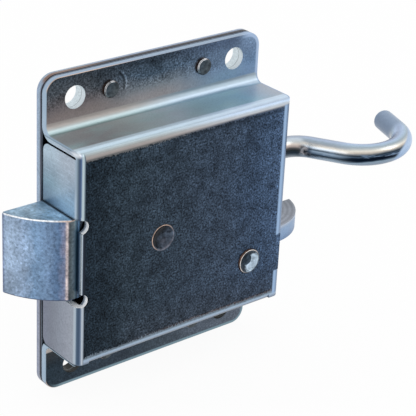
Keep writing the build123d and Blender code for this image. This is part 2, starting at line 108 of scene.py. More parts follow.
class Signal:
    """A value or colour inside a material, written with Python arithmetic."""

    def __init__(self, coat: "Coat", socket: bpy.types.NodeSocket) -> None:
        """Wraps an output socket of one of a coat's nodes."""
        self.coat = coat
        self.socket = socket

    def _with(self, operation: Operation, other: Number = 0.0, flipped: bool = False) -> "Signal":
        """Adds the Math node for one operation.

        Args:
            operation: What to work out.
            other: The second value.
            flipped: Whether the second value comes first.

        Returns:
            The result.
        """
        pair = (other, self) if flipped else (self, other)
        node = self.coat.node("ShaderNodeMath", {"operation": operation.value}, {0: pair[0], 1: pair[1]})
        return Signal(self.coat, node.outputs[0])

    def __add__(self, other: Number) -> "Signal":
        """Sum."""
        return self._with(Operation.ADD, other)

    __radd__ = __add__

    def __sub__(self, other: Number) -> "Signal":
        """Difference."""
        return self._with(Operation.SUBTRACT, other)

    def __rsub__(self, other: Number) -> "Signal":
        """Difference from a number."""
        return self._with(Operation.SUBTRACT, other, flipped=True)

    def __mul__(self, other: Number) -> "Signal":
        """Product."""
        return self._with(Operation.MULTIPLY, other)

    __rmul__ = __mul__

    def __truediv__(self, other: Number) -> "Signal":
        """Quotient."""
        return self._with(Operation.DIVIDE, other)

    def __rtruediv__(self, other: Number) -> "Signal":
        """Quotient of a number and this."""
        return self._with(Operation.DIVIDE, other, flipped=True)

    def __pow__(self, other: Number) -> "Signal":
        """Power."""
        return self._with(Operation.POWER, other)

    def __neg__(self) -> "Signal":
        """Opposite."""
        return self._with(Operation.MULTIPLY, -1.0)

    def __abs__(self) -> "Signal":
        """Size without sign."""
        return self._with(Operation.ABSOLUTE)

    def at_most(self, other: Number) -> "Signal":
        """The smaller of two."""
        return self._with(Operation.MINIMUM, other)

    def at_least(self, other: Number) -> "Signal":
        """The larger of two."""
        return self._with(Operation.MAXIMUM, other)

    def wave(self) -> "Signal":
        """Sine of the value in radians."""
        return self._with(Operation.SINE)

    def root(self) -> "Signal":
        """Square root."""
        return self._with(Operation.SQRT)

    def angle_over(self, other: Number) -> "Signal":
        """Angle in degrees whose tangent is this over other, right in all four quarters."""
        return self._with(Operation.ARCTAN2, other) * (180 / math.pi)

    def step(self, start: float, end: float) -> "Signal":
        """Smooth mask from 0 at start to 1 at end; start may be the larger.

        Args:
            start: Value where the mask is 0.
            end: Value where the mask is 1.

        Returns:
            The mask.
        """
        low, high = min(start, end), max(start, end)
        node = self.coat.node(
            "ShaderNodeMapRange", {"interpolation_type": "SMOOTHSTEP"},
            {"Value": self, "From Min": low, "From Max": high},
        )
        mask = Signal(self.coat, node.outputs[0])
        return mask if start < end else 1.0 - mask

    def band(self, centre: float, half: float) -> "Signal":
        """Soft mask that is 1 at centre and 0 beyond half each side."""
        return abs(self - centre).step(half, 0.0)


@dataclass(frozen=True)
class Extent:
    """Box of one piece at rest, in millimetres of the part's frame."""

    low: Vector
    high: Vector

    @classmethod
    def of(cls, node: str) -> "Extent":
        """Reads a piece's box from the frame."""
        return cls(*(Vector(corner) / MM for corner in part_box(node)))

    @property
    def middle(self) -> Vector:
        """Middle of the box."""
        return (self.low + self.high) / 2


class Coat:
    """One material, put together from nodes, and the place on the surface that it is worked out for.

    Attributes:
        x, y, z: Position in the part's own frame, in millimetres.
        face_x, face_y, face_z: Which way the surface faces.
        metres: The position as one vector, in metres.
    """

    def __init__(self, name: str) -> None:
        """Starts a material.

        Args:
            name: What the material is called.
        """
        self.material = bpy.data.materials.new(name)
        self.material.use_nodes = True
        self.tree = self.material.node_tree
        self.tree.nodes.clear()
        where = self.node("ShaderNodeTexCoord").outputs
        self.metres = Signal(self, where["Object"])
        spot = self.node("ShaderNodeSeparateXYZ", None, {0: self.metres}).outputs
        face = self.node("ShaderNodeSeparateXYZ", None, {0: Signal(self, where["Normal"])}).outputs
        self.x, self.y, self.z = (Signal(self, spot[i]) / MM for i in range(3))
        self.face_x, self.face_y, self.face_z = (Signal(self, face[i]) for i in range(3))

    def upper(self) -> Signal:
        """Mask of the part's upper half."""
        return self.z.step(-5.0, 5.0)

    def sideways(self) -> Signal:
        """How far the surface turns away from the front and the back, from 0 to 1."""
        return 1.0 - abs(self.face_y)

    def reach(self, x: float, z: float) -> Signal:
        """Distance from a line through x and z that runs from front to back."""
        return ((self.x - x) ** 2.0 + (self.z - z) ** 2.0).root()

    def node(
        self, kind: str, settings: Optional[Mapping[str, object]] = None,
        inputs: Optional[Mapping[Union[int, str], object]] = None,
    ) -> bpy.types.Node:
        """Adds any node.

        Args:
            kind: Blender's name of the node's type.
            settings: Properties, set first; "stops" fills a colour ramp.
            inputs: Values or signals by socket name or number.

        Returns:
            The new node.
        """
        node = self.tree.nodes.new(kind)
        for key, value in (settings or {}).items():
            if key == "stops":
                elements = node.color_ramp.elements
                while len(elements) < len(value):
                    elements.new(1.0)
                for element, (position, colour) in zip(elements, value):
                    element.position = position
                    element.color = colour
            else:
                setattr(node, key, value)
        for key, value in (inputs or {}).items():
            if isinstance(value, Signal):
                self.tree.links.new(value.socket, node.inputs[key])
            else:
                node.inputs[key].default_value = value
        return node

    def noise(
        self, per_metre: float, detail: float = 2.0, rough: float = 0.5,
        stretch: Optional[tuple[float, float, float]] = None,
    ) -> Signal:
        """Soft random pattern.

        Args:
            per_metre: How many blotches fit in a metre.
            detail: How many finer layers it has.
            rough: How strong the finer layers are.
            stretch: Factors on the three directions; a small one draws the pattern out.

        Returns:
            A value about 0.5.
        """
        where = self.metres
        if stretch:
            node = self.node("ShaderNodeVectorMath", {"operation": "MULTIPLY"}, {0: where, 1: stretch})
            where = Signal(self, node.outputs[0])
        inputs = {"Vector": where, "Scale": per_metre, "Detail": detail, "Roughness": rough}
        return Signal(self, self.node("ShaderNodeTexNoise", None, inputs).outputs[0])

    def ramp(self, value: Number, stops: Sequence[Stop]) -> Signal:
        """Colour that runs through stops.

        Args:
            value: What the colour follows.
            stops: For each colour the value where it stands, then its display red, green and blue.

        Returns:
            The colour.
        """
        colours = [(position, tone(*shade)) for position, *shade in stops]
        node = self.node("ShaderNodeValToRGB", {"stops": colours}, {0: value})
        return Signal(self, node.outputs[0])

    def blend(self, mask: Number, low: Paint, high: Paint) -> Signal:
        """Colour that is low where the mask is 0 and high where it is 1."""
        node = self.node("ShaderNodeMix", {"data_type": "RGBA"}, {0: mask, 6: low, 7: high})
        return Signal(self, node.outputs[2])

    def mixed(self, mask: Number, low: Number, high: Number) -> Signal:
        """Value that is low where the mask is 0 and high where it is 1."""
        node = self.node("ShaderNodeMix", {"data_type": "FLOAT"}, {0: mask, 2: low, 3: high})
        return Signal(self, node.outputs[0])

    def tinted(self, colour: Paint, strength: Number) -> Signal:
        """Makes a colour lighter or darker.

        Args:
            colour: The colour.
            strength: Factor on it.

        Returns:
            The changed colour.
        """
        node = self.node("ShaderNodeVectorMath", {"operation": "SCALE"}, {"Scale": strength})
        if isinstance(colour, Signal):
            self.tree.links.new(colour.socket, node.inputs[0])
        else:
            node.inputs[0].default_value = colour[:3]
        return Signal(self, node.outputs[0])

    def bumps(self, height: Signal, depth_mm: float, strength: float) -> Signal:
        """Surface normal bent by a height pattern."""
        inputs = {"Height": height, "Distance": depth_mm * MM, "Strength": strength}
        return Signal(self, self.node("ShaderNodeBump", None, inputs).outputs[0])

    def finish(
        self, colour: Paint, roughness: Number, metallic: Number, normal: Signal,
    ) -> bpy.types.Material:
        """Closes the material with its shader.

        Args:
            colour: Base colour.
            roughness: Roughness.
            metallic: How metallic the surface is.
            normal: Bent normal.

        Returns:
            The finished material.
        """
        inputs = {"Base Color": colour, "Roughness": roughness, "Metallic": metallic, "Normal": normal}
        shader = self.node("ShaderNodeBsdfPrincipled", None, inputs)
        output = self.node("ShaderNodeOutputMaterial")
        self.tree.links.new(shader.outputs[0], output.inputs["Surface"])
        return self.material


@dataclass(frozen=True)
class Grain:
    """Fine speckle of bright zinc on rolled steel."""

    specks_per_metre: float = 1600.0
    contrast: float = 2.1
    clouds_per_metre: float = 210.0
    cloud_contrast: float = 0.8
    sparks_per_metre: float = 1000.0
    spark_gain: float = 1.3

    def factor(self, coat: Coat) -> Signal:
        """Lightness that varies from speck to speck.

        Args:
            coat: The piece's coat.

        Returns:
            A factor about 1.
        """
        specks = coat.noise(self.specks_per_metre, 1.0, 0.6)
        clouds = coat.noise(self.clouds_per_metre, 2.0, 0.6)
        sparks = coat.noise(self.sparks_per_metre, 1.0).step(0.68, 0.76)
        speckle = ((specks * 2.0) ** self.contrast) * ((clouds * 2.0) ** self.cloud_contrast)
        return speckle + sparks * self.spark_gain


@dataclass(frozen=True)
class ScrewHoles:
    """The four screw holes through plate and cover, in millimetres."""

    x: float
    z: float
    radius: float

    @classmethod
    def of(cls, record: Mapping[str, object]) -> "ScrewHoles":
        """Reads their places and radius from the frame's record."""
        dims = next(mount["dims"] for mount in record["mounts"] if mount["name"] == "mounting_holes")
        return cls(dims["spacing_x_mm"] / 2, dims["spacing_y_mm"] / 2, dims["hole_r_mm"])

    def near(self, coat: Coat) -> Signal:
        """Mask of the holes and the surface close round them."""
        reach = ((abs(coat.x) - self.x) ** 2.0 + (abs(coat.z) - self.z) ** 2.0).root()
        return reach.step(self.radius + 0.75, self.radius + 0.5)


class SheetCoat(Coat):
    """Coat of rolled sheet, with the patterns that all its patches share."""

    def __init__(self, name: str) -> None:
        """Starts the material and both patterns.

        Args:
            name: What the material is called.
        """
        super().__init__(name)
        self.grain = Grain().factor(self)
        self.streak = 0.9 + self.noise(900.0, 2.0, stretch=(0.3, 1.0, 1.0)) * 0.2


@dataclass(frozen=True)
class CoverFinish:
    """Zinc on the folded cover in painted reflections: dark on the flats, pale painted highlights where
    the sheet is bent, light painted highlights at its edges.

    The patches meet in soft masks, whose limits are millimetres of the part's frame.
    """

    box: Extent
    screw_holes: ScrewHoles
    name: str = "zinc_on_folded_cover"
    front_bend_y: float = -21.9
    top_bend_z: float = 37.0
    low_bend_z: float = -37.2
    side_bend_x: float = 43.3
    side_bend_y: float = -22.2
    foot_bend_y: float = -8.3
    foot_bend_z: float = 42.8
    flange_rise: float = 16.2
    relief_x: float = -44.5
    relief_z: tuple[float, float] = (13.35, -14.3)
    plain_edge_x: float = -44.6
    opening_low_z: float = -16.8
    cut_depth: float = 2.4
    corner_radius: float = 5.5
    stamp_x: float = -19.3
    stamp_z: float = 51.4
    stamp_radius: float = 6.1
    dull_share: float = 0.55

    def across(self, coat: Coat, drift: Signal) -> Signal:
        """Share of the way from left to right, with soft wandering."""
        return (coat.x - self.box.low.x) / (self.box.high.x - self.box.low.x) + drift

    def depth(self, coat: Coat) -> Signal:
        """Share of the way from the front face through the sheet."""
        return (coat.y - self.box.low.y) / self.cut_depth

    def front(self, coat: SheetCoat) -> Signal:
        """Painted reflection on the front: dark slate, bluer and lighter towards the right.

        Args:
            coat: The piece's coat.

        Returns:
            The patch's colour.
        """
        drift = (coat.noise(45.0, 2.0) - 0.5) * 0.2
        flat = coat.ramp(self.across(coat, drift), [
            (0.0, 29, 40, 50), (0.08, 33, 44, 54), (0.23, 46, 58, 69), (0.5, 50, 62, 76),
            (0.68, 54, 67, 84), (0.88, 56, 73, 96), (0.95, 64, 83, 109), (1.0, 80, 102, 132),
        ])
        greyer = coat.z.step(-22.0, -36.0) * coat.x.step(-34.0, -20.0) * 0.5
        darker = 1.0 - coat.z.step(-29.0, -36.0) * 0.12
        return coat.tinted(coat.blend(greyer, flat, tone(58, 66, 77)), coat.grain * darker)

    def web(self, coat: SheetCoat) -> Signal:
        """Top and bottom of the box in painted reflection: warm grey at the left, teal and blue at the
        right.

        Args:
            coat: The piece's coat.

        Returns:
            The patch's colour.
        """
        drift = (coat.noise(60.0, 2.0) - 0.5) * 0.12
        flat = coat.ramp(self.across(coat, drift), [
            (0.04, 122, 127, 130), (0.17, 121, 122, 125), (0.34, 137, 148, 150), (0.5, 139, 151, 160),
            (0.66, 120, 146, 157), (0.83, 122, 155, 173), (0.9, 134, 152, 170), (0.96, 146, 154, 166),
        ])
        cloud = coat.noise(150.0, 3.0, stretch=(0.4, 1.0, 1.0))
        flat = coat.blend(cloud.step(0.42, 0.72) * 0.55, flat, tone(120, 148, 152))
        return coat.tinted(flat, (coat.grain ** 0.1) * (cloud * 0.3 + 1.2))

    def flange(self, coat: SheetCoat) -> Signal:
        """Flanges in painted reflection: dark at the outer edge, warm then teal towards the bend, with a
        painted highlight by the bend.

        Args:
            coat: The piece's coat.

        Returns:
            The patch's colour.
        """
        drift = coat.noise(90.0, 3.0) - 0.5
        out = (coat.z - self.foot_bend_z) / self.flange_rise + drift * 0.3
        upper = coat.ramp(out, [
            (0.04, 124, 115, 114), (0.14, 116, 107, 106), (0.32, 102, 96, 98), (0.63, 74, 80, 87),
            (0.9, 52, 60, 68),
        ])
        further_right = {
            (-30.0, -5.0): [
                (0.04, 138, 132, 133), (0.14, 130, 126, 128), (0.32, 110, 116, 122), (0.63, 72, 88, 104),
                (0.9, 48, 59, 71),
            ],
            (0.0, 34.0): [
                (0.04, 107, 131, 153), (0.14, 106, 131, 152), (0.32, 104, 125, 149), (0.63, 98, 118, 143),
                (0.9, 80, 97, 122),
            ],
            (33.0, 42.0): [
                (0.05, 94, 118, 146), (0.32, 90, 114, 142), (0.63, 110, 133, 163), (0.86, 118, 142, 172),
            ],
        }
        for (start, end), stops in further_right.items():
            upper = coat.blend(coat.x.step(start, end), upper, coat.ramp(out, stops))
        lower = coat.ramp(self.across(coat, drift * 0.2), [
            (0.03, 40, 52, 62), (0.37, 52, 62, 73), (0.55, 60, 70, 80), (0.77, 78, 87, 99),
            (0.93, 86, 94, 106),
        ])
        lower = coat.tinted(lower, coat.z.step(-44.0, -52.0) * 0.55 + 0.55)
        by_bend = out.step(0.55, 0.2)
        smooth = by_bend.at_least(coat.x.step(8.0, 34.0) * 0.75) * coat.upper()
        smooth = smooth.at_least(coat.z.step(0.0, -5.0) * 0.55)
        speckle = coat.mixed(smooth, coat.grain ** 0.8, coat.grain ** 0.12)
        # painted highlight: the upper flanges lighter by their bend
        lift = coat.mixed(by_bend * coat.upper(), 1.0, 1.5)
        flat = coat.blend(coat.upper(), lower, upper)
        return coat.tinted(flat, speckle * lift * (1.0 + self.stamp(coat)))

    def stamp(self, coat: Coat) -> Signal:
        """Faint arc that a press left beside the upper left rivet, drawn as a painted highlight with a
        painted shadow just inside it.

        Args:
            coat: The piece's coat.

        Returns:
            How much lighter or darker the surface is there.
        """
        away = coat.reach(self.stamp_x, self.stamp_z)
        # painted highlight on the arc and painted shadow just inside it
        light = away.band(self.stamp_radius, 0.55) * 1.3
        dark = away.band(self.stamp_radius - 0.9, 0.8) * 0.6
        return (light - dark) * coat.x.step(-17.5, -15.5) * coat.z.step(48.5, 50.0)

    def flap(self, coat: SheetCoat) -> Signal:
        """Turned-back ends: pale blue painted reflection, darker by the bolt as painted shade, with fine
        rubbing marks along the fold.

        Args:
            coat: The piece's coat.

        Returns:
            The patch's colour.
        """
        high = (coat.z - 16.0) / 20.0
        rear = coat.ramp(high, [
            (0.0, 96, 120, 140), (0.15, 104, 130, 152), (0.4, 119, 147, 164), (0.65, 136, 156, 172),
            (0.9, 168, 187, 202),
        ])
        fore = coat.ramp(high, [
            (0.0, 128, 156, 178), (0.2, 138, 165, 186), (0.5, 148, 167, 184), (0.9, 162, 174, 188),
        ])
        upper = coat.blend(coat.y.step(-8.0, -18.0), rear, fore)
        lower = coat.ramp((coat.y + 22.0) / 18.0, [
            (0.06, 147, 154, 166), (0.22, 141, 147, 160), (0.45, 131, 138, 151), (0.67, 121, 127, 140),
            (0.9, 118, 124, 140),
        ])
        colour = coat.blend(coat.upper(), lower, upper)
        marks = coat.noise(1300.0, 2.0, stretch=(1.0, 0.14, 1.5))
        rub = (marks.step(0.5, 0.8) - marks.step(0.5, 0.2) * 0.4) * coat.z.step(14.0, 24.0) * 0.3
        return coat.tinted(colour, (coat.grain ** 0.12) * 1.08 + rub)

    def top_bend(self, coat: SheetCoat, colour: Signal) -> Signal:
        """Paints the long bend above the front as painted highlight and reflection, with a painted shadow
        line where it starts.

        Args:
            coat: The piece's coat.
            colour: The front below it.

        Returns:
            Front and bend.
        """
        turn = (coat.z - self.top_bend_z).at_least(0.0).angle_over(self.front_bend_y - coat.y) / 90.0
        # left and right: painted highlights and reflections across the bend, from the front up to the web
        left = coat.ramp(turn, [
            (0.0, 108, 108, 109), (0.1, 158, 151, 149), (0.22, 170, 165, 163), (0.33, 158, 162, 162),
            (0.45, 142, 152, 156), (0.56, 160, 176, 184), (0.68, 194, 216, 230), (0.86, 206, 227, 242),
            (1.0, 200, 219, 231),
        ])
        right = coat.ramp(turn, [
            (0.0, 70, 84, 106), (0.09, 124, 128, 138), (0.18, 196, 200, 206), (0.33, 188, 200, 212),
            (0.45, 164, 180, 200), (0.56, 164, 181, 200), (0.7, 192, 209, 228), (0.84, 202, 222, 240),
            (1.0, 198, 216, 234),
        ])
        bend = coat.tinted(coat.blend(coat.x.step(-20.0, 30.0), left, right), coat.streak)
        bend_wobble = self.bend_wobble(coat)
        # painted shadow along the line where the bend starts
        shadow = (coat.z - self.top_bend_z + 0.8 + bend_wobble).band(0.0, 1.1) * coat.x.step(-12.0, 12.0)
        colour = coat.tinted(colour, 1.0 - shadow * 0.5)
        line = coat.z + bend_wobble + coat.x.step(5.0, -25.0) * 0.35
        return coat.blend(line.step(self.top_bend_z - 0.4, self.top_bend_z + 0.1), colour, bend)

    def low_bend(self, coat: SheetCoat, colour: Signal) -> Signal:
        """Paints the long bend below the front as painted highlight and reflection, with a thin brown
        line above it.

        Args:
            coat: The piece's coat.
            colour: Front and top bend.

        Returns:
            Front and both bends.
        """
        turn = (self.low_bend_z - coat.z).at_least(0.0).angle_over(self.front_bend_y - coat.y) / 60.0
        # painted highlight and reflection across the bend
        under = coat.ramp(turn, [
            (0.0, 124, 138, 152), (0.1, 156, 178, 198), (0.3, 164, 182, 204), (0.5, 130, 144, 162),
            (0.8, 84, 95, 110), (1.0, 80, 90, 102),
        ])
        height = coat.z - self.bend_wobble(coat)
        brown = (height - self.low_bend_z - 0.9).band(0.0, 0.55) * coat.x.step(-30.0, 10.0)
        colour = coat.blend(brown * 0.75, colour, tone(94, 82, 80))
        # painted highlight just above where the bend starts
        early = height.step(self.low_bend_z + 1.0, self.low_bend_z + 0.3)
        colour = coat.blend(early * 0.8, colour, tone(120, 134, 148))
        starts = height.step(self.low_bend_z + 0.2, self.low_bend_z - 0.1)
        return coat.blend(starts, colour, coat.tinted(under, coat.streak))

    # Wobble of where the bends' painted highlights and painted shadow line begin.
    def bend_wobble(self, coat: SheetCoat) -> Signal:
        """Unevenness of the line where a bend starts, in millimetres."""
        return (coat.streak - 1.0) * 1.2 + (coat.grain - 1.0) * 0.5

    def side_bends(self, coat: SheetCoat, colour: Signal) -> Signal:
        """Paints the upright bends between front and end flaps as painted highlights and reflections,
        with painted shade beside the bolt.

        Args:
            coat: The piece's coat.
            colour: Everything painted so far.

        Returns:
            The colour with both bends.
        """
        forward = self.side_bend_y - coat.y
        left = (-coat.x - self.side_bend_x).at_least(0.0).angle_over(forward)
        # painted highlights and reflections across the left bend
        upper = coat.ramp(left / 90.0, [
            (0.0, 52, 64, 80), (0.1, 118, 134, 146), (0.2, 192, 210, 216), (0.3, 172, 190, 202),
            (0.38, 86, 110, 148), (0.48, 70, 88, 116), (0.58, 82, 98, 118), (0.68, 120, 138, 152),
            (0.78, 152, 170, 186), (0.92, 164, 182, 198),
        ])
        lower = coat.ramp(left / 90.0, [
            (0.0, 74, 90, 106), (0.1, 158, 168, 180), (0.2, 196, 206, 216), (0.28, 128, 144, 166),
            (0.4, 72, 90, 114), (0.56, 72, 90, 112), (0.65, 96, 116, 136), (0.74, 172, 186, 200),
            (0.9, 176, 188, 198),
        ])
        bent = left.step(0.0, 5.0) * abs(coat.z).step(39.6, 38.6)
        colour = coat.blend(bent, colour, coat.blend(coat.upper(), lower, upper))
        # painted shade in the bend beside the bolt
        by_bolt = coat.z.step(14.5, 12.5) * coat.z.step(-15.5, -13.5) * left.step(34.0, 46.0)
        colour = coat.blend(by_bolt, colour, tone(22, 36, 48))
        right = (coat.x - self.side_bend_x).at_least(0.0).angle_over(forward)
        # painted highlight along the right bend
        strip = coat.ramp(right / 90.0, [
            (0.0, 156, 184, 217), (0.12, 134, 158, 188), (0.3, 118, 138, 168), (1.0, 130, 148, 172),
        ])
        window = coat.z.step(-13.0, -13.8) * coat.z.step(-28.5, -27.9)
        at_right = coat.x.step(42.0, 42.8) * (1.0 - window) * abs(coat.z).step(38.2, 37.2)
        return coat.blend(at_right, colour, strip)

    def foot_bends(self, coat: SheetCoat, flange: Signal, web: Signal) -> Signal:
        """Paints the hollow bends between webs and flanges as painted highlights, with the flats beside
        them.

        Args:
            coat: The piece's coat.
            flange: Colour of the flanges.
            web: Colour of the webs.

        Returns:
            The colour of all three.
        """
        rise = (self.foot_bend_z - abs(coat.z)).at_least(0.0).angle_over(coat.y - self.foot_bend_y)
        rise = rise * (1.0 - coat.x.step(32.0, 42.0) * 0.22)
        # painted highlights across the hollow bends
        left = coat.ramp(rise / 90.0, [
            (0.0, 184, 175, 171), (0.2, 188, 182, 178), (0.34, 184, 190, 190), (0.46, 186, 204, 207),
            (0.62, 196, 220, 224), (0.74, 166, 192, 194), (0.84, 120, 144, 146), (1.0, 118, 134, 136),
        ])
        right = coat.ramp(rise / 90.0, [
            (0.0, 150, 166, 178), (0.2, 190, 209, 222), (0.42, 194, 212, 228), (0.6, 188, 209, 228),
            (0.76, 140, 168, 188), (1.0, 128, 156, 174),
        ])
        hollow = coat.tinted(coat.blend(coat.x.step(-18.0, 16.0), left, right), coat.streak)
        hollow = coat.blend(rise.step(72.0, 90.0), hollow, web)
        near = coat.blend((abs(coat.z) + (coat.streak - 1.0) * 2.0).step(43.75, 43.1), flange, hollow)
        return coat.blend(coat.y.step(self.foot_bend_y - 0.5, self.foot_bend_y), web, near)

    def rims(self, coat: SheetCoat, colour: Signal) -> Signal:
        """Paints the flanges' rims and all that ends at the right with painted highlights, lighter than
        the flats, and painted shade in the groove by the plate.

        Args:
            coat: The piece's coat.
            colour: Everything painted so far.

        Returns:
            The colour with the rims.
        """
        on_flange = coat.y.step(-6.8, -5.9) * abs(coat.z).step(42.5, 43.5)
        # painted highlight along the flanges' rims, beige at the left
        beige = coat.blend(coat.x.step(-30.0, 0.0), tone(186, 168, 158), tone(140, 150, 166))
        colour = coat.blend(coat.sideways().step(0.01, 0.12) * on_flange, colour, beige)
        rim = coat.blend(coat.z.step(0.0, 10.0), tone(132, 150, 170), tone(160, 181, 203))
        # painted shade in the groove where flange meets plate
        rim = coat.blend(coat.y.step(-3.9, -3.3), rim, tone(38, 40, 50))
        colour = coat.blend(coat.sideways().step(0.3, 0.55) * on_flange, colour, rim)
        # painted highlight on the ends at the right
        right = coat.x.step(45.0, 45.5) * abs(coat.z).step(38.6, 39.4)
        colour = coat.blend(right, colour, tone(150, 172, 204))
        beyond_x = (abs(coat.x) - self.box.high.x + self.corner_radius).at_least(0.0)
        beyond_z = (abs(coat.z) - self.box.high.z + self.corner_radius).at_least(0.0)
        outward = (beyond_x ** 2.0 + beyond_z ** 2.0).root() - self.corner_radius
        # painted highlights round the corners
        below = outward.step(-1.5, -1.0) * coat.z.step(0.0, -10.0) * coat.x.step(-45.0, -38.0)
        colour = coat.blend(below * on_flange, colour, tone(122, 146, 158))
        beside = outward.step(-1.8, -1.0) * coat.z.step(0.0, 10.0) * coat.x.step(36.0, 42.0)
        return coat.blend(beside * on_flange, colour, tone(166, 188, 218))

    def web_ends(self, coat: SheetCoat, colour: Signal) -> Signal:
        """Paints the webs' cut ends at the left with painted highlights on their edges, and the painted
        highlight of the pale corner above the bolt.

        Args:
            coat: The piece's coat.
            colour: Everything painted so far.

        Returns:
            The colour with the ends.
        """
        left = coat.x.step(-45.4, -45.8) * abs(coat.z).step(39.2, 39.5) * coat.y.step(-24.0, -23.0)
        # painted highlight on the cut ends' rounded edges
        cut = coat.blend(abs(coat.z).band(39.4, 0.8), tone(160, 182, 202), tone(112, 134, 150))
        colour = coat.blend(left, colour, cut)
        # painted highlight on the corner above the bolt
        corner = coat.x.step(-44.2, -45.2) * (coat.z - 39.0).band(0.0, 1.5) * coat.y.step(-19.5, -22.5)
        return coat.blend(corner * 0.85, colour, tone(226, 232, 240))

    def holes(self, coat: SheetCoat, colour: Signal) -> Signal:
        """Paints the walls of the screw holes, with painted light in the upper holes and painted shade in
        the lower ones, and the seam between the two sheets.

        Args:
            coat: The piece's coat.
            colour: Everything painted so far.

        Returns:
            The colour with the walls.
        """
        wall = self.screw_holes.near(coat) * coat.sideways().step(0.25, 0.5)
        # painted light on the walls of the upper holes, painted shade in the lower ones
        bore = coat.blend(coat.upper(), tone(60, 62, 62), tone(212, 222, 228))
        bore = coat.blend(coat.y.band(self.box.high.y, 0.35), bore, tone(120, 128, 132))
        return coat.blend(wall, colour, bore)

    def reliefs(self, coat: Coat) -> Signal:
        """Mask of the walls of the round reliefs beside the bolt."""
        upper, lower = [coat.reach(self.relief_x, z).step(3.2, 3.0) for z in self.relief_z]
        return upper.at_least(lower) * coat.sideways().step(0.04, 0.2) * coat.x.step(-44.6, -44.2)

    def low_lip(self, coat: Coat) -> Signal:
        """Mask of the flap's cut end below the bolt."""
        return (coat.z - self.opening_low_z).band(0.0, 0.4) * coat.face_z.step(0.5, 0.8)

    def opening(self, coat: SheetCoat, colour: Signal) -> Signal:
        """Paints the cut edges round the bolt as painted highlights that fade into painted shade, with
        painted shade over the bolt.

        Args:
            coat: The piece's coat.
            colour: Everything painted so far.

        Returns:
            The colour with the edges.
        """
        # painted highlight at the front of the cut edge, fading into painted shade inwards
        cut = coat.x.band(self.plain_edge_x, 0.3) * abs(coat.face_x).step(0.4, 0.7)
        colour = coat.blend(cut * abs(coat.z).step(17.2, 16.6), colour, coat.ramp(self.depth(coat), [
            (0.0, 246, 252, 255), (0.2, 238, 248, 255), (0.4, 212, 230, 250), (0.6, 140, 166, 198),
            (0.85, 66, 94, 126), (1.0, 22, 44, 68),
        ]))
        # the same painted highlight and shade on the lip
        lip = coat.x.step(-42.8, -43.4) * abs(coat.face_y).step(0.7, 0.85)
        lip = lip * abs(coat.z + 0.5).step(13.4, 12.6)
        colour = coat.blend(lip, colour, coat.ramp((coat.x - self.plain_edge_x) / 1.4, [
            (0.0, 226, 238, 246), (0.2, 150, 164, 182), (0.38, 58, 66, 78), (0.7, 34, 42, 52),
        ]))
        # painted light on the reliefs' walls, fading into painted shade inwards
        colour = coat.blend(self.reliefs(coat), colour, coat.ramp(self.depth(coat), [
            (0.0, 255, 255, 255), (0.45, 236, 242, 248), (0.7, 130, 142, 156), (1.0, 84, 96, 110),
        ]))
        # painted shade over the bolt
        over_bolt = coat.z.step(16.5, 16.2) * coat.z.step(14.0, 15.0) * coat.x.step(-44.5, -45.5)
        colour = coat.blend(over_bolt * 0.45, colour, tone(30, 42, 56))
        # painted highlight on the flap's cut end below the bolt
        return coat.blend(self.low_lip(coat), colour, tone(246, 248, 250))

    def build(self) -> bpy.types.Material:
        """Makes the material.

        Returns:
            The material.
        """
        coat = SheetCoat(self.name)
        web = self.web(coat)
        colour = self.low_bend(coat, self.top_bend(coat, self.front(coat)))
        on_web = coat.y.step(-21.2, -20.2) * abs(coat.face_z).step(0.9, 0.99)
        colour = self.side_bends(coat, coat.blend(on_web, colour, web))
        on_flap = abs(coat.x).step(45.7, 45.95) * abs(coat.face_x).step(0.6, 0.95)
        on_flap = on_flap * coat.y.step(-22.8, -22.0) * abs(coat.z).step(39.5, 39.3)
        colour = coat.blend(on_flap, colour, self.flap(coat))
        behind = abs(coat.z).step(39.3, 39.6) * coat.y.step(-12.0, -11.2)
        colour = coat.blend(behind, colour, self.foot_bends(coat, self.flange(coat), web))
        # painted shade inside the box
        inside = coat.y.step(-22.7, -22.5) * abs(coat.x).step(45.6, 45.2) * abs(coat.z).step(39.3, 38.9)
        colour = coat.blend(inside, colour, tone(48, 53, 60))
        for paint in (self.rims, self.web_ends, self.holes, self.opening):
            colour = paint(coat, colour)
        # painted light: the flap beside the bolt lighter, and less metallic
        by_bolt = coat.x.step(-45.7, -45.9) * coat.y.step(-5.0, -12.0)
        by_bolt = by_bolt * coat.z.step(28.0, 20.0) * coat.z.step(14.0, 16.0)
        colour = coat.tinted(colour, 1.0 + by_bolt * 0.22)
        dull = abs(coat.z).step(50.0, 44.0) * abs(coat.z).step(39.2, 39.6)
        dull = dull.at_least(by_bolt).at_least(self.reliefs(coat).at_least(self.low_lip(coat)) * 1.6)
        normal = coat.bumps(coat.noise(1400.0, 3.0, 0.6), 0.008, 0.5)
        return coat.finish(colour, 0.36, 1.0 - dull * self.dull_share, normal)


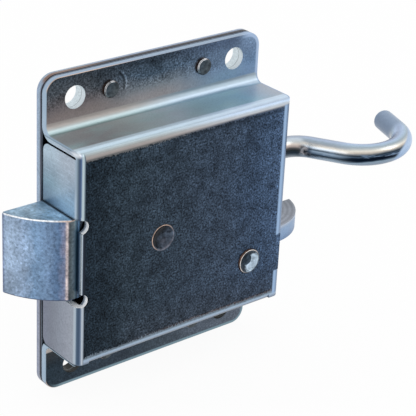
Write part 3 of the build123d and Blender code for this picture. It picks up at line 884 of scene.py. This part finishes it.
@dataclass(frozen=True)
class PlateFinish:
    """Zinc on the flat back plate: dull rolled faces, sawn edges light with painted highlights."""

    screw_holes: ScrewHoles
    name: str = "zinc_on_back_plate"
    face: Colour = tone(118, 127, 140)
    face_dark: Colour = tone(92, 101, 114)
    thickness: float = 3.2

    def edge(self, coat: Coat) -> Signal:
        """Sawn edges and hole walls, with painted highlights at the back and painted shade where plate
        and cover meet.

        Args:
            coat: The piece's coat.

        Returns:
            The edges' colour.
        """
        depth = coat.y / -self.thickness
        upper = coat.ramp(depth, [
            (0.0, 138, 152, 180), (0.15, 160, 178, 204), (0.6, 152, 172, 190), (0.76, 124, 132, 152),
            (0.86, 20, 22, 30),
        ])
        lower = coat.ramp(depth, [
            (0.0, 108, 114, 146), (0.18, 142, 150, 172), (0.5, 156, 162, 178), (0.72, 108, 112, 126),
            (0.84, 18, 20, 28),
        ])
        ledge = coat.ramp(depth, [
            (0.0, 156, 172, 196), (0.36, 166, 182, 206), (0.5, 92, 90, 98), (0.62, 48, 48, 56),
            (0.8, 62, 64, 72), (0.92, 24, 26, 32),
        ])
        brown = coat.ramp(depth, [
            (0.0, 160, 180, 200), (0.32, 164, 180, 196), (0.46, 140, 118, 110), (0.8, 124, 104, 97),
            (0.9, 28, 26, 30),
        ])
        ledge = coat.blend(coat.x.step(-34.0, -16.0), brown, ledge)
        edge = coat.blend(coat.z.step(-12.0, -2.0), lower, upper)
        edge = coat.blend(coat.face_z.step(0.5, 0.8), edge, ledge)
        along = coat.noise(900.0, 2.0, stretch=(0.25, 1.0, 0.25))
        edge = coat.tinted(edge, 0.8 + along * 0.4)
        # painted light on the walls of the upper holes, painted shade in the lower ones
        bore = coat.blend(coat.upper(), tone(52, 54, 54), tone(208, 220, 226))
        return coat.blend(self.screw_holes.near(coat), edge, bore)

    def build(self) -> bpy.types.Material:
        """Makes the material.

        Returns:
            The material.
        """
        coat = Coat(self.name)
        grain = Grain().factor(coat)
        rolled = coat.noise(600.0, 3.0, stretch=(1.0, 1.0, 0.05))
        cloud = coat.noise(40.0, 3.0)
        face = coat.blend(cloud.step(0.35, 0.68), self.face_dark, self.face)
        face = coat.tinted(face, 0.8 + rolled * 0.4)
        colour = coat.blend(abs(coat.face_y).step(0.8, 0.5), face, self.edge(coat))
        colour = coat.tinted(colour, grain ** 0.15)
        return coat.finish(colour, 0.36 + (cloud - 0.5) * 0.12, 1.0, coat.bumps(rolled, 0.01, 0.5))


@dataclass(frozen=True)
class BoltFinish:
    """Zinc on the machined bolt: mottled blue bevel, a warm painted highlight at its crease, flat front
    darkened by painted reflection.
    """

    box: Extent
    name: str = "zinc_on_latch_bolt"
    tip_x: float = -62.6
    bevel_length: float = 15.0
    crease_x: float = -48.3
    flat_x: float = -48.0
    case_x: float = -46.0

    def front(self, coat: Coat, fine: Signal, blotch: Signal) -> Signal:
        """Bevel and flat front, with a painted highlight along the crease between them.

        Args:
            coat: The piece's coat.
            fine: Fine pattern.
            blotch: Coarse pattern.

        Returns:
            Their colour.
        """
        bevel = coat.ramp((coat.x - self.tip_x) / self.bevel_length + (blotch - 0.5) * 0.3, [
            (0.0, 146, 164, 188), (0.1, 148, 168, 192), (0.25, 150, 172, 200), (0.42, 118, 146, 177),
            (0.65, 108, 132, 162), (0.8, 96, 122, 156), (0.88, 124, 136, 166), (1.0, 146, 142, 160),
        ])
        flat = coat.ramp((coat.x - self.flat_x) / 4.0, [
            (0.0, 96, 96, 98), (0.18, 72, 82, 88), (0.45, 100, 112, 118), (0.75, 104, 118, 126),
            (0.92, 56, 72, 82), (1.0, 40, 62, 76),
        ])
        flat = coat.tinted(flat, 1.0 - coat.z.step(-8.0, -12.0) * 0.25)
        front = coat.blend((coat.x - self.crease_x).step(0.2, 0.7), bevel, flat)
        # painted highlight along the crease
        crease = (coat.x - self.crease_x - 0.1).band(0.0, 0.65) * (0.5 + fine * 0.8)
        return coat.blend(crease.at_most(1.0), front, tone(206, 192, 190))

    def rims(self, coat: Coat, colour: Signal) -> Signal:
        """Paints the broken edges, with a painted highlight along the top and painted shade along the
        bottom, the tip, the back and what lies inside the case.

        Args:
            coat: The piece's coat.
            colour: The faces.

        Returns:
            The colour with all four.
        """
        half_height = (self.box.high.z - self.box.low.z) / 2
        edge = abs(coat.z - self.box.middle.z).step(half_height - 0.55, half_height - 0.4)
        edge = edge * abs(coat.face_z).step(0.97, 0.85)
        # painted highlight along the top edge, painted shade along the bottom
        bright = coat.blend(coat.x.step(-52.0, -48.5), tone(240, 244, 250), tone(206, 186, 176))
        rim = coat.blend(coat.z.step(-2.0, 2.0), tone(70, 82, 110), bright)
        colour = coat.blend(edge, colour, rim)
        colour = coat.blend(coat.x.step(-62.0, -62.35), colour, tone(112, 126, 156))
        colour = coat.blend(coat.face_y.step(0.5, 0.9), colour, tone(120, 130, 143))
        return coat.blend(coat.x.step(-43.7, -43.0), colour, tone(84, 92, 104))

    def wear(self, coat: Coat, fine: Signal, blotch: Signal) -> Signal:
        """Lightness of the mottling, with bright specks on the bevel.

        Args:
            coat: The piece's coat.
            fine: Fine pattern.
            blotch: Coarse pattern.

        Returns:
            A factor about 1.
        """
        patch = coat.noise(110.0, 2.0, stretch=(1.6, 1.0, 0.6))
        sparks = coat.noise(800.0, 1.0).step(0.62, 0.74) * coat.x.step(-50.0, -53.0)
        return ((fine * 2.0) ** 0.8) * ((patch * 2.0) ** 0.7) * (0.76 + blotch * 0.48) + sparks * 0.35

    def build(self) -> bpy.types.Material:
        """Makes the material.

        Returns:
            The material.
        """
        coat = Coat(self.name)
        fine = coat.noise(1000.0, 2.0, 0.6)
        blotch = coat.noise(260.0, 3.0, 0.6, stretch=(1.0, 1.0, 0.7))
        ends = coat.ramp(blotch, [(0.3, 108, 138, 160), (0.5, 124, 152, 174), (0.7, 142, 168, 188)])
        front = self.front(coat, fine, blotch)
        colour = coat.blend(abs(coat.face_z).step(0.55, 0.85), front, ends)
        colour = coat.tinted(self.rims(coat, colour), self.wear(coat, fine, blotch))
        # painted shadow on the bolt's top under the flap
        by_flap = coat.face_z.step(0.5, 0.8) * coat.x.step(-46.8, -46.4)
        colour = coat.blend(by_flap * 0.85, colour, tone(28, 40, 54))
        # painted light: the top face lighter, and less metallic
        top = coat.face_z.step(0.55, 0.85) * coat.x.step(-57.0, -52.0)
        colour = coat.tinted(colour, 1.0 + top * 0.45)
        # painted shade where the bolt runs into the opening, lighter towards its top
        inner = coat.x.step(-46.0, -45.0) * (1.0 - abs(coat.face_z).step(0.3, 0.6))
        inner = inner * coat.x.step(-43.4, -43.8)
        shade = coat.ramp((coat.x - self.case_x) / 2.0, [
            (0.1, 112, 126, 134), (0.35, 72, 96, 108), (0.55, 42, 70, 88), (0.75, 12, 38, 60),
            (0.95, 62, 92, 120),
        ])
        colour = coat.blend(inner, colour, coat.tinted(shade, 1.0 + coat.z.step(6.0, 13.0) * 0.6))
        metal = 1.0 - top * 0.6 - inner * 0.7
        normal = coat.bumps(blotch + fine * 0.5, 0.03, 0.5)
        return coat.finish(colour, 0.34 + (blotch - 0.5) * 0.2, metal, normal)


@dataclass(frozen=True)
class RodFinish:
    """Zinc on drawn bar: glossy, with painted reflections: sky above, a warm highlight line and dark
    streaks along its side.
    """

    name: str = "zinc_on_hook_rod"
    light_z: float = 0.848
    light_y: float = 0.53
    run_x: float = 0.76
    run_y: float = 0.65
    dent_at: float = 57.6

    def side(self, coat: Coat, turn: Signal, along: Signal, wander: Signal) -> Signal:
        """Painted reflections round the bar, from its inner end over a quiet stretch to the stretch with
        dark streaks before the hook.

        Args:
            coat: The piece's coat.
            turn: How far round the bar, from the light side to the dark.
            along: How far along the bar.
            wander: Slow pattern about 0.

        Returns:
            The bar's colour.
        """
        streaked_reflection = coat.ramp(turn, [
            (0.0, 128, 140, 162), (0.07, 180, 200, 230), (0.15, 176, 198, 216), (0.22, 164, 178, 188),
            (0.3, 196, 202, 202), (0.38, 232, 228, 218), (0.46, 196, 188, 178), (0.52, 120, 126, 132),
            (0.57, 34, 46, 58), (0.63, 66, 84, 104), (0.67, 16, 28, 42), (0.79, 6, 16, 30),
            (0.84, 60, 78, 96), (0.88, 140, 160, 178), (1.0, 126, 140, 160),
        ])
        calm_reflection = coat.ramp(turn, [
            (0.0, 134, 144, 164), (0.1, 178, 194, 218), (0.18, 156, 172, 186), (0.26, 160, 168, 176),
            (0.36, 230, 224, 214), (0.46, 190, 202, 214), (0.54, 66, 82, 98), (0.6, 150, 170, 190),
            (0.68, 96, 116, 136), (0.75, 30, 44, 58), (0.82, 150, 168, 184), (1.0, 130, 144, 164),
        ])
        inner = coat.ramp(turn, [
            (0.0, 137, 146, 162), (0.1, 172, 184, 202), (0.2, 202, 214, 226), (0.35, 198, 204, 206),
            (0.46, 214, 204, 196), (0.56, 176, 164, 160), (0.64, 84, 84, 86), (0.72, 38, 44, 48),
            (0.84, 34, 46, 58), (0.92, 84, 96, 108), (1.0, 140, 148, 158),
        ])
        colour = coat.blend(along.step(55.0, 58.0), inner, calm_reflection)
        return coat.blend((along + wander * 6.0).step(66.0, 76.0), colour, streaked_reflection)

    def build(self) -> bpy.types.Material:
        """Makes the material.

        Returns:
            The material.
        """
        coat = Coat(self.name)
        fine = coat.noise(900.0, 3.0, 0.6)
        wander = coat.noise(300.0, 2.0, stretch=(0.45, 0.45, 1.0)) - 0.5
        down = 0.5 - (coat.face_z * self.light_z + coat.face_y * self.light_y) * 0.5
        along = coat.x * self.run_x - coat.y * self.run_y
        turn = down + wander * 0.09
        flecks = coat.noise(800.0, 2.0, stretch=(0.25, 0.25, 1.3))
        # painted glints in the dark band of the reflection
        shine = flecks.step(0.56, 0.68) * down.band(0.64, 0.16) * along.step(60.0, 66.0)
        colour = coat.blend(shine * 0.75, self.side(coat, turn, along, wander), tone(140, 166, 198))
        # painted reflection at the bar's outer end
        outer = coat.ramp(turn, [
            (0.0, 140, 160, 186), (0.25, 172, 194, 224), (0.6, 184, 206, 234), (0.85, 150, 178, 212),
            (1.0, 134, 156, 192),
        ])
        colour = coat.blend((along + (down - 0.7) * 8.0).step(91.5, 93.5), colour, outer)
        # painted light on the end faces, lighter where they face right
        end = coat.ramp(coat.face_x * 0.5 + 0.5, [
            (0.0, 118, 134, 156), (0.3, 140, 158, 182), (0.6, 146, 166, 190), (1.0, 160, 182, 210),
        ])
        colour = coat.blend(coat.y.step(-31.0, -25.0) * coat.x.step(70.0, 74.0), colour, end)
        dent = (along - self.dent_at).band(0.0, 3.2) * down.step(0.4, 0.52) * down.step(0.92, 0.78)
        crumpled = coat.ramp(coat.noise(900.0, 2.0), [(0.38, 36, 42, 50), (0.62, 150, 148, 152)])
        colour = coat.tinted(coat.blend(dent, colour, crumpled), 0.88 + fine * 0.24)
        return coat.finish(colour, 0.3, 1.0, coat.bumps(fine, 0.01, 0.5))


@dataclass(frozen=True)
class CastFinish:
    """Zinc on the cast lever: satin, with the concentric marks of its die on the tab."""

    name: str = "zinc_on_cast_lever"
    marks_x: float = 47.2
    marks_y: float = 1.1
    marks_closeness: float = 3.4
    tab_low_z: float = -20.0
    tab_rise: float = 6.3

    def build(self) -> bpy.types.Material:
        """Makes the material.

        Returns:
            The material.
        """
        coat = Coat(self.name)
        skin = coat.noise(800.0, 3.0, 0.6)
        reach = ((coat.x - self.marks_x) ** 2.0 + (coat.y - self.marks_y) ** 2.0).root()
        arcs = (reach * self.marks_closeness).wave() * 0.5 + 0.5
        cloud = coat.noise(120.0, 3.0)
        top = coat.blend(cloud.step(0.3, 0.7), tone(128, 134, 144), tone(150, 156, 168))
        top = coat.tinted(top, 0.82 + arcs * 0.26)
        # painted shading on the tab's sides: darker at the bottom, lighter towards the top edge
        side = coat.ramp((coat.z - self.tab_low_z) / self.tab_rise + (cloud - 0.5) * 0.3, [
            (0.0, 112, 136, 170), (0.4, 138, 164, 197), (0.8, 146, 170, 200), (1.0, 176, 188, 206),
        ])
        colour = coat.blend(coat.face_z.step(0.4, 0.8), side, top)
        colour = coat.tinted(colour, 0.82 + skin * 0.36)
        normal = coat.bumps(arcs * coat.face_z.at_least(0.0) * 0.6 + skin * 0.6, 0.05, 0.6)
        return coat.finish(colour, 0.38 + (skin - 0.5) * 0.2, 1.0, normal)


@dataclass(frozen=True)
class TurnedFinish:
    """Bright zinc on a small turned or hammered piece, painted light on slopes that face up to the left
    and painted shade on the others.
    """

    name: str
    box: Extent
    rim: float
    ring: float
    # floor and floor_right: painted reflection on the dish's floor, darker at the left; light and shade:
    # painted light and shade on the slopes; outer: painted shadow on the outer wall; ring_left and
    # ring_right: painted highlight on the rim's left, darker at its right.
    floor: Colour = tone(44, 54, 66)
    floor_right: Colour = tone(66, 80, 94)
    light: Colour = tone(190, 206, 218)
    shade: Colour = tone(44, 52, 62)
    outer: Colour = tone(116, 90, 78)
    warmth: float = 0.0
    ring_left: Colour = tone(196, 174, 160)
    ring_right: Colour = tone(108, 116, 128)

    def build(self) -> bpy.types.Material:
        """Makes the material.

        Returns:
            The material.
        """
        coat = Coat(self.name)
        centre = self.box.middle
        aside, above = coat.x - centre.x, coat.z - centre.z
        reach = coat.reach(centre.x, centre.z)
        scuff = coat.noise(640.0, 3.0, 0.65)
        rightward = (aside - above) / self.rim * 0.7 + (scuff - 0.5)
        # which way a slope faces the painted light
        facing = coat.face_x * -0.75 + coat.face_z * 0.45
        slope = coat.sideways().step(0.004, 0.05)
        wall = coat.blend((facing + (scuff - 0.5) * 0.6).step(-0.05, 0.3), self.shade, self.light)
        floor = coat.blend(rightward.step(-0.7, 0.9), self.floor, self.floor_right)
        low = (above / self.rim).step(0.1, -0.7) * (aside / self.rim).step(-0.5, 0.3)
        floor = coat.blend(low * self.warmth, floor, tone(104, 80, 72))
        colour = coat.blend(slope * (1.0 - low * self.warmth), floor, wall)
        # painted highlight on the rim's left, darker at its right
        ring = coat.blend(rightward.step(-0.5, 0.6), self.ring_left, self.ring_right)
        colour = coat.blend(reach.band(self.rim - self.ring, self.ring), colour, ring)
        # painted shadow on the outer wall
        outside = coat.sideways().step(0.3, 0.6) * reach.step(self.rim - 0.4, self.rim - 0.25)
        colour = coat.blend(outside, colour, self.outer)
        colour = coat.tinted(colour, (scuff * 2.0) ** 1.3)
        return coat.finish(colour, 0.3 + scuff * 0.1, 1.0, coat.bumps(scuff, 0.03, 0.5))


@dataclass(frozen=True)
class PlainFinish:
    """Even finish with slight clouding, for the pieces inside the case."""

    name: str
    colour: Colour
    roughness: float
    metallic: float = 1.0
    per_metre: float = 700.0

    def build(self) -> bpy.types.Material:
        """Makes the material.

        Returns:
            The material.
        """
        coat = Coat(self.name)
        pattern = coat.noise(self.per_metre, 3.0)
        colour = coat.tinted(self.colour, 0.8 + pattern * 0.4)
        rough = self.roughness + (pattern - 0.5) * 0.15
        return coat.finish(colour, rough, self.metallic, coat.bumps(pattern, 0.02, 0.5))


def dress(obj: bpy.types.Object, material: bpy.types.Material) -> None:
    """Gives a piece one material all over.

    Args:
        obj: The piece.
        material: Its finish.
    """
    if not obj.material_slots:
        obj.data.materials.append(material)
    for slot in obj.material_slots:
        slot.material = material
    LOG.info("dressed %s in %s", obj.name, material.name)


@dataclass
class Case:
    """Plate, cover, rivets, post and pin: everything that stays on the flap."""

    nodes: Mapping[str, bpy.types.Object]
    screw_holes: ScrewHoles

    def dress(self) -> None:
        """Finishes every piece of the case."""
        dress(self.nodes["cover"], CoverFinish(Extent.of("cover"), self.screw_holes).build())
        dress(self.nodes["back_plate"], PlateFinish(self.screw_holes).build())
        self.dress_post_and_pin()
        self.dress_rivets()
        dress(self.nodes["guide_sleeve"], PlainFinish("ground_sleeve", tone(120, 124, 130), 0.25).build())
        dress(self.nodes["spring_saddle"], PlainFinish("black_nylon", tone(34, 34, 36), 0.5, 0.0).build())
        dress(self.nodes["bolt_spring"], PlainFinish("oil_tempered_wire", tone(92, 96, 102), 0.3).build())
        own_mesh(self.nodes["bolt_spring"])
        washer = PlainFinish("pressed_washer", tone(140, 144, 150), 0.35).build()
        for name in ("pivot_washer_front", "pivot_washer_rear"):
            dress(self.nodes[name], washer)

    def dress_post_and_pin(self) -> None:
        """Finishes the guide post and the lever's pin, whose ends show in the front."""
        # Both dishes: painted reflection on the floors, painted light and shade on the slopes, painted
        # highlight and shadow at the rim.
        post = TurnedFinish(
            "zinc_on_guide_post", Extent.of("guide_post"), rim=4.95, ring=0.3, warmth=0.3,
            floor=tone(14, 20, 28), floor_right=tone(84, 96, 112), light=tone(70, 80, 94),
            shade=tone(18, 24, 32), ring_left=tone(190, 166, 152), ring_right=tone(104, 108, 120),
        )
        dress(self.nodes["guide_post"], post.build())
        pin = TurnedFinish(
            "zinc_on_pivot_pin", Extent.of("lever_pivot_pin"), rim=4.8, ring=0.3,
            floor=tone(24, 34, 44), light=tone(170, 188, 204), ring_left=tone(246, 238, 232),
            ring_right=tone(86, 92, 100), outer=tone(104, 76, 64),
        )
        dress(self.nodes["lever_pivot_pin"], pin.build())

    def dress_rivets(self) -> None:
        """Finishes the four rivets, the lower two darker with painted shade."""
        # painted shade: the lower two rivets darker
        darker = {"light": tone(54, 60, 66), "floor": tone(40, 46, 52), "outer": tone(46, 50, 54)}
        for row, changes in (("top", {}), ("bottom", darker)):
            for side in ("left", "right"):
                name = f"flange_rivet_{row}_{side}"
                rivet = TurnedFinish(
                    f"zinc_on_{name}", Extent.of(name), rim=3.05, ring=0.2,
                    floor=tone(66, 76, 84), floor_right=tone(80, 86, 90), light=tone(222, 230, 238),
                    ring_left=tone(128, 118, 114), ring_right=tone(76, 80, 86),
                )
                dress(self.nodes[name], replace(rivet, **changes).build())


@dataclass
class SlidingBolt:
    """Latch bolt with its rod and the small pieces on it."""

    nodes: Mapping[str, bpy.types.Object]

    def dress(self) -> None:
        """Finishes every piece that slides."""
        finishes = {
            "latch_bolt": BoltFinish(Extent.of("latch_bolt")),
            "hook_handle": RodFinish(),
            "handle_weld": PlainFinish("weld_bead", tone(126, 128, 132), 0.4),
            "drive_block": PlainFinish("bright_block", tone(142, 148, 156), 0.3),
            "drive_block_pin": PlainFinish("ground_pin", tone(156, 158, 164), 0.2),
            "spring_guide_pin": PlainFinish("guide_pin", tone(146, 150, 156), 0.22),
        }
        for name, finish in finishes.items():
            dress(self.nodes[name], finish.build())


@dataclass
class Release:
    """Lever with its thumb tab and bush."""

    nodes: Mapping[str, bpy.types.Object]

    def dress(self) -> None:
        """Finishes the lever."""
        dress(self.nodes["release_lever"], CastFinish().build())
        dress(self.nodes["pivot_bush"], PlainFinish("sintered_bronze", tone(170, 138, 96), 0.35).build())


@dataclass
class Studio:
    """Pale floor, soft light and the camera of the product view."""

    floor_z: float = -0.0593
    floor_half: float = 3.0
    floor_grey: float = 0.9
    glow_share: float = 0.94
    sky: float = 0.95
    azimuth: float = -40.501
    elevation: float = 25.462
    roll: float = 2.883
    distance: float = 0.599604
    target: tuple[float, float, float] = (0.03035, 0.0, -0.009244)
    lens: float = 139.684

    def world(self) -> None:
        """Plain white surroundings."""
        world = bpy.data.worlds.new("studio")
        bpy.context.scene.world = world
        world.use_nodes = True
        background = world.node_tree.nodes["Background"]
        background.inputs["Color"].default_value = (1.0, 1.0, 1.0, 1.0)
        background.inputs["Strength"].default_value = self.sky

    def floor(self) -> None:
        """Lays the floor under the plate's lower edge."""
        mesh = bpy.data.meshes.new("floor")
        work = bmesh.new()
        quarters = ((-1, -1), (1, -1), (1, 1), (-1, 1))
        half = self.floor_half
        work.faces.new([work.verts.new((x * half, y * half, self.floor_z)) for x, y in quarters])
        work.to_mesh(mesh)
        work.free()
        floor = bpy.data.objects.new("floor", mesh)
        bpy.context.scene.collection.objects.link(floor)
        floor.data.materials.append(self.floor_paint())

    def floor_paint(self) -> bpy.types.Material:
        """Mixes the floor's paint, which looks almost white but lights the object as pale grey would.

        Returns:
            The material.
        """
        coat = Coat("studio_floor")
        rays = coat.node("ShaderNodeLightPath")
        seen = Signal(coat, rays.outputs["Is Camera Ray"])
        seen = seen.at_least(Signal(coat, rays.outputs["Is Glossy Ray"]))
        seen = seen.at_least(Signal(coat, rays.outputs["Is Transmission Ray"]))
        grey = (self.floor_grey, self.floor_grey, self.floor_grey, 1.0)
        paint = coat.node("ShaderNodeBsdfDiffuse", None, {"Color": grey})
        glow = coat.node("ShaderNodeEmission", None, {"Color": (1.0, 1.0, 1.0, 1.0), "Strength": 1.0})
        mix = coat.node("ShaderNodeMixShader", None, {0: seen * self.glow_share})
        coat.tree.links.new(paint.outputs[0], mix.inputs[1])
        coat.tree.links.new(glow.outputs[0], mix.inputs[2])
        output = coat.node("ShaderNodeOutputMaterial")
        coat.tree.links.new(mix.outputs[0], output.inputs["Surface"])
        return coat.material

    def lamp(self, name: str, spot: Sequence[float], size: float, watts: float) -> None:
        """Hangs one soft lamp aimed at the object.

        Args:
            name: What the lamp is called.
            spot: Its place in metres.
            size: Its side in metres.
            watts: Its power.
        """
        light = bpy.data.lights.new(name, "AREA")
        light.size = size
        light.energy = watts
        obj = bpy.data.objects.new(name, light)
        bpy.context.scene.collection.objects.link(obj)
        obj.location = spot
        obj.rotation_euler = (-Vector(spot)).to_track_quat("-Z", "Y").to_euler()

    def lamps(self) -> None:
        """Hangs the lamps."""
        self.lamp("high_right", (0.75, -0.55, 0.9), 0.5, 1.2)
        self.lamp("left_side", (-0.95, -0.35, 0.55), 0.5, 0.9)

    def camera(self) -> None:
        """Stands the camera at the product view."""
        turn, lift, tilt = (math.radians(v) for v in (self.azimuth, self.elevation, self.roll))
        back = Vector((math.sin(turn) * math.cos(lift), -math.cos(turn) * math.cos(lift), math.sin(lift)))
        level = Vector((math.cos(turn), math.sin(turn), 0.0))
        upright = back.cross(level)
        right = level * math.cos(tilt) + upright * math.sin(tilt)
        up = upright * math.cos(tilt) - level * math.sin(tilt)
        data = bpy.data.cameras.new("product_view")
        data.lens = self.lens
        data.sensor_width = 36.0
        camera = bpy.data.objects.new("product_view", data)
        bpy.context.scene.collection.objects.link(camera)
        frame = Matrix((right, up, back)).transposed().to_4x4()
        frame.translation = Vector(self.target) + back * self.distance
        camera.matrix_world = frame
        bpy.context.scene.camera = camera

    def build(self) -> None:
        """Sets up everything that isn't the object."""
        bpy.context.scene.view_settings.view_transform = "Standard"
        self.world()
        self.floor()
        self.lamps()
        self.camera()


def main() -> None:
    """Dresses the lock and sets up the studio."""
    logging.basicConfig(level=logging.INFO, format="%(message)s")
    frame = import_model()
    nodes = frame["nodes"]
    case = Case(nodes, ScrewHoles.of(frame["record"]))
    for part in (case, SlidingBolt(nodes), Release(nodes)):
        part.dress()
    Studio().build()


if __name__ == "__main__":
    main()
